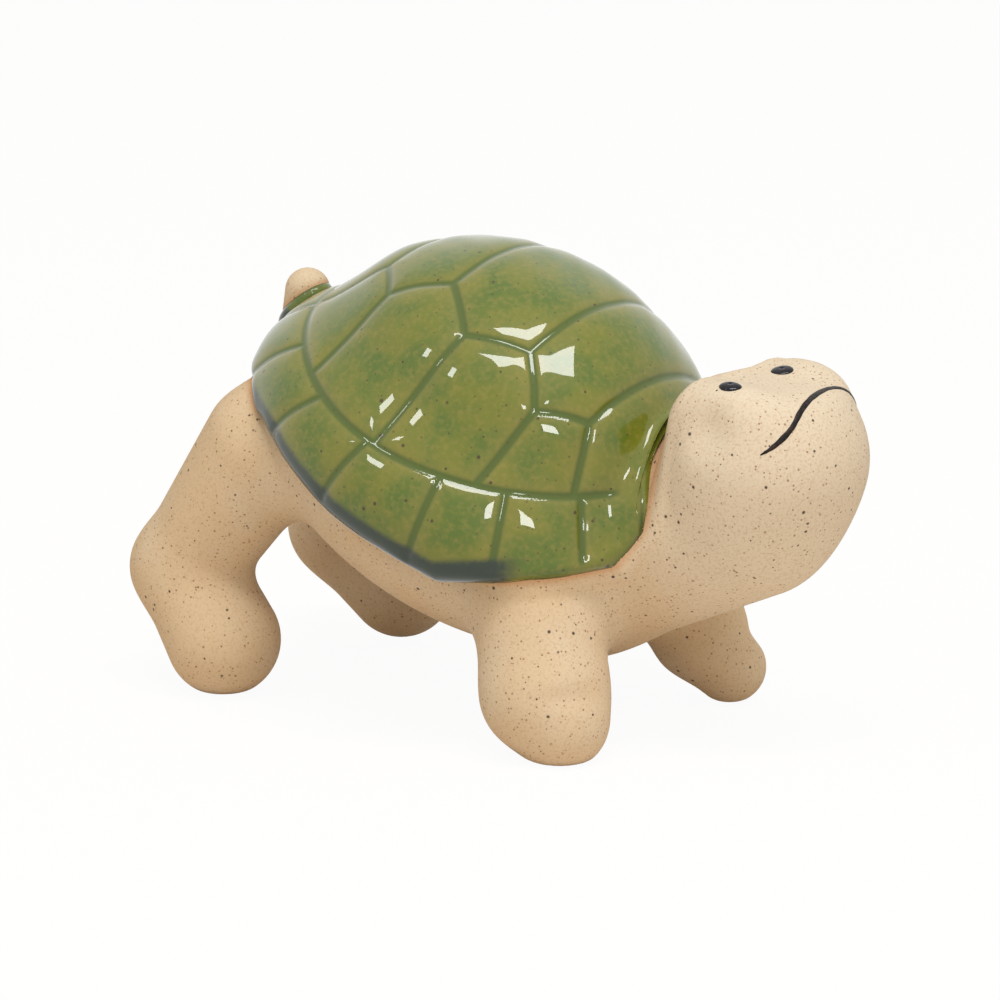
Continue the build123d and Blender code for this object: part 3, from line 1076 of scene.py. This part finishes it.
colour = nodes.mix(nodes.math("MULTIPLY", dark, 0.9), colour, SPECK_DARK)
nodes.set(shader, "Base Color", colour)
nodes.set(shader, "Roughness", nodes.ramp(sand, -1.3, 1.0))
nodes.set(shader, "Specular IOR Level", 0.3)
height = nodes.math("ADD", nodes.math("MULTIPLY", sand, 0.6), nodes.math("MULTIPLY", dark, -0.5))
bump = nodes.add("ShaderNodeBump", {"Height": height, "Distance": TOOTH, "Strength": 0.6})
nodes.set(shader, "Normal", bump.outputs[0])
body.data.materials.append(stoneware)
print("stoneware nodes:", len(stoneware.node_tree.nodes))

# %% [markdown]
# ## Green glaze
#
# The glaze is coloured glass over speckled clay. Where it lies thin, beside the carved
# lines, the clay warms it to tan. In the lines it is thick and deep green, and along the
# lower rim it pools into a dark grey-green. Its own colour drifts between moss and olive inside
# each plate. A clear coat gives the sharp wet shine, over a rougher base that gives the
# colour its depth.

# %% The glaze material
GLAZE_OLIVE = (0.135, 0.15, 0.01, 1.0)
GLAZE_MOSS = (0.078, 0.124, 0.009, 1.0)
GLAZE_TAN = (0.235, 0.19, 0.035, 1.0)
GLAZE_DEEP = (0.058, 0.092, 0.006, 1.0)
GLAZE_POOL = (0.022, 0.036, 0.022, 1.0)
GLAZE_SPECK = (0.045, 0.022, 0.006, 1.0)
DRIFT_SIZE = 9.0
MOTTLE_SIZE = 1.1
FINE_DOTS = (1.3, 0.24, 0.5)
LARGE_DOTS = (2.9, 0.42, 0.5)

green_glaze, nodes, shader = new_material("Green glaze")
where = nodes.add("ShaderNodeTexCoord").outputs["Object"]
drift = nodes.ramp(nodes.noise(where, DRIFT_SIZE), 0.35, 0.65)
colour = nodes.mix(drift, GLAZE_OLIVE, GLAZE_MOSS)
mottle = nodes.noise(where, MOTTLE_SIZE, 5.0)
colour = nodes.mix(nodes.math("MULTIPLY", nodes.ramp(mottle, 0.4, 0.75), 0.45), colour, GLAZE_TAN)
beside = nodes.math("MULTIPLY", nodes.value_on_points("shoulder"), 0.4)
colour = nodes.mix(beside, colour, GLAZE_TAN)
in_groove = nodes.ramp(nodes.value_on_points("groove"), 0.1, 0.8)
colour = nodes.mix(nodes.math("MULTIPLY", in_groove, 0.92), colour, GLAZE_DEEP)
ragged = nodes.math("MULTIPLY", nodes.math("SUBTRACT", mottle, 0.5), 0.5)
pooled = nodes.math("ADD", nodes.value_on_points("pool"), ragged)
colour = nodes.mix(nodes.ramp(pooled, 0.1, 0.9), colour, GLAZE_POOL)
fine = specks(nodes, where, *FINE_DOTS)
large = specks(nodes, where, *LARGE_DOTS)
dots = nodes.math("MAXIMUM", nodes.math("MULTIPLY", fine, 0.6), nodes.math("MULTIPLY", large, 0.9))
colour = nodes.mix(dots, colour, GLAZE_SPECK)
nodes.set(shader, "Base Color", colour)
nodes.set(shader, "Roughness", nodes.ramp(mottle, -1.5, 3.0))
nodes.set(shader, "Specular IOR Level", 0.1)
nodes.set(shader, "Coat Weight", 1.0)
nodes.set(shader, "Coat Roughness", 0.02)
nodes.set(shader, "Coat IOR", 1.46)
glaze.data.materials.append(green_glaze)
print("glaze nodes:", len(green_glaze.node_tree.nodes))

# %% [markdown]
# ## Enamel and underglaze
#
# The eyes are glossy black enamel, and the mouth is a black underglaze that keeps a soft
# sheen and thins to brown where the brush ran dry. Neither is one flat colour.

# %% The two blacks


def black_finish(name, thin, thick, low_gloss, high_gloss, drag):
    """A black that drifts between a thin and a thick colour, and between two roughnesses."""
    material, nodes, shader = new_material(name)
    where = nodes.add("ShaderNodeTexCoord").outputs["Object"]
    spread = nodes.noise(where, drag, 3.0)
    nodes.set(shader, "Base Color", nodes.mix(nodes.ramp(spread, 0.35, 0.6), thin, thick))
    gloss = nodes.add("ShaderNodeMapRange")
    for i, number in enumerate((spread, 0.0, 1.0, low_gloss, high_gloss)):
        nodes.set(gloss, i, number)
    nodes.set(shader, "Roughness", gloss.outputs[0])
    bump = nodes.add("ShaderNodeBump", {"Height": spread, "Distance": 0.00005, "Strength": 0.3})
    nodes.set(shader, "Normal", bump.outputs[0])
    return material, nodes, shader


enamel, nodes, shader = black_finish("Black enamel", thin=(0.012, 0.012, 0.016, 1),
                                     thick=(0.004, 0.004, 0.006, 1),
                                     low_gloss=0.04, high_gloss=0.12, drag=1.5)
nodes.set(shader, "Specular IOR Level", 0.15)
nodes.set(shader, "Coat Weight", 0.25)
nodes.set(shader, "Coat Roughness", 0.03)
for eye in eyes:
    eye.data.materials.append(enamel)
underglaze, nodes, shader = black_finish("Black underglaze", thin=(0.03, 0.018, 0.014, 1),
                                         thick=(0.008, 0.007, 0.007, 1),
                                         low_gloss=0.3, high_gloss=0.6, drag=0.8)
nodes.set(shader, "Specular IOR Level", 0.15)
mouth.data.materials.append(underglaze)
print("blacks:", enamel.name, underglaze.name)

# %% [markdown]
# ## Studio
#
# The turtle stands on a white sweep in very soft light. The floor is white to the camera
# and in every shine, and still keeps a faint shadow, because those rays see a mix of a lit
# surface and a plain white glow. The world lights the clay from everywhere, more from above
# and from the side of the head. One large soft box overhead gives the shading its direction
# and the glaze its sharp highlight, and two small ones add the glints along the grooves.

# %% Floor


def seen_directly(nodes):
    """One where the camera sees something itself, in a shine or through glass."""
    rays = nodes.add("ShaderNodeLightPath").outputs
    mirrored = nodes.math("MAXIMUM", rays["Is Glossy Ray"], rays["Is Transmission Ray"])
    return nodes.math("MAXIMUM", rays["Is Camera Ray"], mirrored)


FLOOR_SIZE = 4.0
FLOOR_COLOUR = (0.84, 0.74, 0.63, 1.0)
FLOOR_GLOW = 0.95
floor_mesh = bpy.data.meshes.new("studio_floor")
half = FLOOR_SIZE / 2
floor_corners = [(-half, -half, 0), (half, -half, 0), (half, half, 0), (-half, half, 0)]
floor_mesh.from_pydata(floor_corners, [], [(0, 1, 2, 3)])
floor = bpy.data.objects.new("studio_floor", floor_mesh)
bpy.context.scene.collection.objects.link(floor)
floor_material = bpy.data.materials.new("White sweep")
nodes = emptied(floor_material)
lit = nodes.add("ShaderNodeBsdfDiffuse", {"Color": FLOOR_COLOUR})
glow = nodes.add("ShaderNodeEmission", {"Color": (1, 1, 1, 1), "Strength": 1.0})
share = nodes.math("MULTIPLY", seen_directly(nodes), FLOOR_GLOW)
surface = nodes.add("ShaderNodeMixShader", {0: share, 1: lit.outputs[0], 2: glow.outputs[0]})
nodes.add("ShaderNodeOutputMaterial", {0: surface.outputs[0]})
floor_mesh.materials.append(floor_material)
print("floor:", FLOOR_SIZE, "m wide")

# %% World and lamps
WORLD_LOW = 0.17
WORLD_HIGH = 0.8
BRIGHT_SIDE = (0.62, -0.1, 0.78)
world = bpy.data.worlds.new("Studio world")
bpy.context.scene.world = world
nodes = emptied(world)
direction = nodes.add("ShaderNodeTexCoord").outputs["Generated"]
towards = nodes.add("ShaderNodeVectorMath", {0: direction, 1: BRIGHT_SIDE}, operation="DOT_PRODUCT")
brighter = nodes.ramp(towards.outputs["Value"], -0.8, 1.0)
dome_light = nodes.math("ADD", WORLD_LOW, nodes.math("MULTIPLY", brighter, WORLD_HIGH - WORLD_LOW))
strength = nodes.math("MAXIMUM", dome_light, seen_directly(nodes))
background = nodes.add("ShaderNodeBackground", {"Color": (1, 1, 1, 1), "Strength": strength})
nodes.add("ShaderNodeOutputWorld", {0: background.outputs[0]})
LAMP_AIM = Vector((0.0, 0.0, 0.05))


def aimed(name, data, aim, azimuth, elevation, distance):
    """A lamp or camera that looks at a point. Azimuth 0 is in front of the right flank."""
    thing = bpy.data.objects.new(name, data)
    a, e = math.radians(azimuth), math.radians(elevation)
    away = Vector((math.sin(a) * math.cos(e), -math.cos(a) * math.cos(e), math.sin(e)))
    thing.location = aim + away * distance
    thing.rotation_euler = away.to_track_quat("Z", "Y").to_euler()
    bpy.context.scene.collection.objects.link(thing)
    print(name, "at", [round(v, 3) for v in thing.location])
    return thing


def soft_box(name, azimuth, elevation, distance, width, height, power):
    """A rectangular lamp that faces the turtle."""
    lamp = bpy.data.lights.new(name, "AREA")
    lamp.shape = "RECTANGLE"
    lamp.size, lamp.size_y, lamp.energy = width, height, power
    aimed(name, lamp, LAMP_AIM, azimuth, elevation, distance)


soft_box("overhead_box", azimuth=48, elevation=69, distance=1.2, width=0.75, height=0.25, power=8.5)
soft_box("front_box", azimuth=43, elevation=31, distance=1.6, width=0.2, height=0.28, power=3.0)
soft_box("side_box", azimuth=-22, elevation=42, distance=1.6, width=0.2, height=0.2, power=1.8)

# %% [markdown]
# ## Camera
#
# The photograph was taken from the front right, a little above the turtle, from about a
# metre away with a long lens. The camera aims at the middle of the frame, with no shift.

# %% The camera
CAMERA_AZIMUTH = 37.46
CAMERA_ELEVATION = 12.64
CAMERA_DISTANCE = 1.1004
CAMERA_LENS = 190.9
CAMERA_AIM = Vector((-0.00656, 0.0, 0.04333))
camera = bpy.data.cameras.new("studio_camera")
camera.lens = CAMERA_LENS
camera.sensor_width = 36.0
camera.clip_start = 0.05
bpy.context.scene.camera = aimed("studio_camera", camera, CAMERA_AIM, CAMERA_AZIMUTH,
                                 CAMERA_ELEVATION, CAMERA_DISTANCE)
bpy.context.scene.view_settings.view_transform = "Standard"
